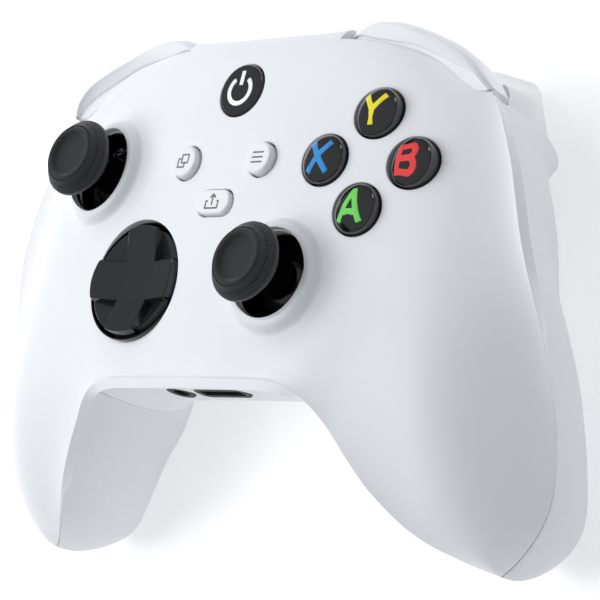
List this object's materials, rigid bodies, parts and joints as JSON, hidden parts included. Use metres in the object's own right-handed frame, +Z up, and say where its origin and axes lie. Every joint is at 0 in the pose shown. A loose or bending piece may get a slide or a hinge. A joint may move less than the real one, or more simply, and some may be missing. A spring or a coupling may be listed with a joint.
{
  "type": "wireless game controller",
  "caption": "Two-handed wireless game controller with thumbsticks, direction pad, face buttons, bumpers, triggers and a removable battery door, lying face up.",
  "frame": {"origin": "middle of the overall box, on the surface that the controller lies on", "axes": "+X to the player's right across the two grips, +Y from the grips towards the bumpers and triggers, +Z up; the face is tilted 10 degrees, lower at the bumpers"},
  "size_m": [0.153, 0.1092, 0.0566],
  "materials": {
    "white_shell": "fine moulded grain",
    "white_grip": "fine raised dots",
    "white_buttons": "smooth satin",
    "black_gloss": "polished",
    "black_stick_cap": "matte with a knurled edge",
    "black_matte": "plain moulded",
    "membrane": "silicone",
    "light_guide": "clear satin",
    "circuit_board": "solder mask",
    "battery_wrap": "printed film",
    "steel": "plain"
  },
  "bodies": {
    "root": {"battery_contact_left": "steel", "battery_contact_right": "steel", "battery_lower": "battery_wrap", "battery_tray": "black_matte", "battery_upper": "battery_wrap", "button_membrane": "membrane", "expansion_port": "black_matte", "front_shell": "white_shell", "grip_motor_left": "steel", "grip_motor_right": "steel", "grip_panel_left": "white_grip", "grip_panel_right": "white_grip", "guide_light_ring": "light_guide", "headphone_jack": "black_matte", "main_board": "circuit_board", "rear_shell": "white_shell", "screw_lower_left": "steel", "screw_lower_right": "steel", "screw_upper_left": "steel", "screw_upper_right": "steel", "stick_module_left": "black_matte", "stick_module_right": "black_matte", "top_bridge": "white_shell", "trigger_motor_left": "steel", "trigger_motor_right": "steel", "trigger_shaft_left": "steel", "trigger_shaft_right": "steel", "trigger_spring_left": "steel", "trigger_spring_right": "steel", "usb_port": "steel"},
    "button_a": {"button_a": "black_gloss"},
    "button_b": {"button_b": "black_gloss"},
    "button_x": {"button_x": "black_gloss"},
    "button_y": {"button_y": "black_gloss"},
    "view_button": {"view_button": "white_buttons"},
    "menu_button": {"menu_button": "white_buttons"},
    "share_button": {"share_button": "white_buttons"},
    "guide_button": {"guide_button": "black_gloss"},
    "pair_button": {"pair_button": "white_buttons"},
    "stick_yoke_left": {"stick_yoke_left": "black_matte"},
    "stick_lever_left": {"stick_lever_left": "black_gloss"},
    "stick_cap_left": {"stick_cap_left": "black_stick_cap"},
    "stick_yoke_right": {"stick_yoke_right": "black_matte"},
    "stick_lever_right": {"stick_lever_right": "black_gloss"},
    "stick_cap_right": {"stick_cap_right": "black_stick_cap"},
    "dpad_spring_plate": {"dpad_spring_plate": "steel"},
    "dpad_cap": {"dpad_cap": "black_gloss"},
    "bumper_right": {"bumper_right": "white_shell"},
    "trigger_right": {"trigger_right": "white_shell"},
    "grip_weight_right": {"grip_weight_right": "steel"},
    "trigger_weight_right": {"trigger_weight_right": "steel"},
    "bumper_left": {"bumper_left": "white_shell"},
    "trigger_left": {"trigger_left": "white_shell"},
    "grip_weight_left": {"grip_weight_left": "steel"},
    "trigger_weight_left": {"trigger_weight_left": "steel"},
    "battery_door": {"battery_door": "white_shell"}
  },
  "joints": [
    {"name": "press_a", "type": "slide", "parent": "root", "child": "button_a", "axis": [0, -0.1736, -0.9848], "range_m": [0, 0.0012], "stiffness_N_per_m": 400, "springref_m": -0.0006},
    {"name": "press_b", "type": "slide", "parent": "root", "child": "button_b", "axis": [0, -0.1736, -0.9848], "range_m": [0, 0.0012], "stiffness_N_per_m": 400, "springref_m": -0.0006},
    {"name": "press_x", "type": "slide", "parent": "root", "child": "button_x", "axis": [0, -0.1736, -0.9848], "range_m": [0, 0.0012], "stiffness_N_per_m": 400, "springref_m": -0.0006},
    {"name": "press_y", "type": "slide", "parent": "root", "child": "button_y", "axis": [0, -0.1736, -0.9848], "range_m": [0, 0.0012], "stiffness_N_per_m": 400, "springref_m": -0.0006},
    {"name": "press_view", "type": "slide", "parent": "root", "child": "view_button", "axis": [0, -0.1736, -0.9848], "range_m": [0, 0.0006], "stiffness_N_per_m": 600, "springref_m": -0.0005},
    {"name": "press_menu", "type": "slide", "parent": "root", "child": "menu_button", "axis": [0, -0.1736, -0.9848], "range_m": [0, 0.0006], "stiffness_N_per_m": 600, "springref_m": -0.0005},
    {"name": "press_share", "type": "slide", "parent": "root", "child": "share_button", "axis": [0, -0.1736, -0.9848], "range_m": [0, 0.0006], "stiffness_N_per_m": 600, "springref_m": -0.0005},
    {"name": "press_guide", "type": "slide", "parent": "root", "child": "guide_button", "axis": [0, -0.1736, -0.9848], "range_m": [0, 0.0006], "stiffness_N_per_m": 600, "springref_m": -0.0005},
    {"name": "press_pair", "type": "slide", "parent": "root", "child": "pair_button", "axis": [0, -0.9848, 0.1736], "range_m": [0, 0.0005], "stiffness_N_per_m": 600, "springref_m": -0.0005},
    {"name": "stick_left_up_down", "type": "hinge", "parent": "root", "child": "stick_yoke_left", "pos_m": [-0.0369, 0.02167, 0.03164], "axis": [1, 0, 0], "range_deg": [-16, 16], "stiffness_Nm_per_rad": 0.06},
    {"name": "stick_left_left_right", "type": "hinge", "parent": "stick_yoke_left", "child": "stick_lever_left", "pos_m": [-0.0369, 0.02167, 0.03164], "axis": [0, 0.9848, -0.1736], "range_deg": [-16, 16], "stiffness_Nm_per_rad": 0.06},
    {"name": "stick_left_click", "type": "slide", "parent": "stick_lever_left", "child": "stick_cap_left", "axis": [0, -0.1736, -0.9848], "range_m": [0, 0.0006], "stiffness_N_per_m": 2500, "springref_m": -0.0004},
    {"name": "stick_right_up_down", "type": "hinge", "parent": "root", "child": "stick_yoke_right", "pos_m": [0.0201, -0.00212, 0.03611], "axis": [1, 0, 0], "range_deg": [-16, 16], "stiffness_Nm_per_rad": 0.06},
    {"name": "stick_right_left_right", "type": "hinge", "parent": "stick_yoke_right", "child": "stick_lever_right", "pos_m": [0.0201, -0.00212, 0.03611], "axis": [0, 0.9848, -0.1736], "range_deg": [-16, 16], "stiffness_Nm_per_rad": 0.06},
    {"name": "stick_right_click", "type": "slide", "parent": "stick_lever_right", "child": "stick_cap_right", "axis": [0, -0.1736, -0.9848], "range_m": [0, 0.0006], "stiffness_N_per_m": 2500, "springref_m": -0.0004},
    {"name": "dpad_up_down", "type": "hinge", "parent": "root", "child": "dpad_spring_plate", "pos_m": [-0.0201, -0.00108, 0.04202], "axis": [1, 0, 0], "range_deg": [-4, 4], "stiffness_Nm_per_rad": 0.6},
    {"name": "dpad_left_right", "type": "hinge", "parent": "dpad_spring_plate", "child": "dpad_cap", "pos_m": [-0.0201, -0.00108, 0.04202], "axis": [0, 0.9848, -0.1736], "range_deg": [-4, 4], "stiffness_Nm_per_rad": 0.6},
    {"name": "bumper_right_press", "type": "hinge", "parent": "root", "child": "bumper_right", "pos_m": [0.022, 0.04838, 0.02765], "axis": [0, -0.1736, -0.9848], "range_deg": [0, 1], "stiffness_Nm_per_rad": 3, "springref_deg": -1.15},
    {"name": "trigger_right_pull", "type": "hinge", "parent": "root", "child": "trigger_right", "pos_m": [0.0414, 0.04095, 0.0183], "axis": [-0.9563, 0.2879, -0.0508], "range_deg": [0, 13], "stiffness_Nm_per_rad": 0.25, "springref_deg": -8.59},
    {"name": "grip_weight_right_spin", "type": "hinge", "parent": "root", "child": "grip_weight_right", "pos_m": [0.051, -0.01585, 0.01867], "axis": [1, 0, 0], "continuous": true},
    {"name": "trigger_weight_right_spin", "type": "hinge", "parent": "root", "child": "trigger_weight_right", "pos_m": [0.009, 0.03866, 0.01454], "axis": [1, 0, 0], "continuous": true},
    {"name": "bumper_left_press", "type": "hinge", "parent": "root", "child": "bumper_left", "pos_m": [-0.022, 0.04838, 0.02765], "axis": [0, 0.1736, 0.9848], "range_deg": [0, 1], "stiffness_Nm_per_rad": 3, "springref_deg": -1.15},
    {"name": "trigger_left_pull", "type": "hinge", "parent": "root", "child": "trigger_left", "pos_m": [-0.0414, 0.04095, 0.0183], "axis": [-0.9563, -0.2879, 0.0508], "range_deg": [0, 13], "stiffness_Nm_per_rad": 0.25, "springref_deg": -8.59},
    {"name": "grip_weight_left_spin", "type": "hinge", "parent": "root", "child": "grip_weight_left", "pos_m": [-0.051, -0.01585, 0.01867], "axis": [1, 0, 0], "continuous": true},
    {"name": "trigger_weight_left_spin", "type": "hinge", "parent": "root", "child": "trigger_weight_left", "pos_m": [-0.009, 0.03866, 0.01454], "axis": [1, 0, 0], "continuous": true},
    {"name": "battery_door_lift", "type": "slide", "parent": "root", "child": "battery_door", "axis": [0, 0, -1], "range_m": [0, 0.02]}
  ]
}
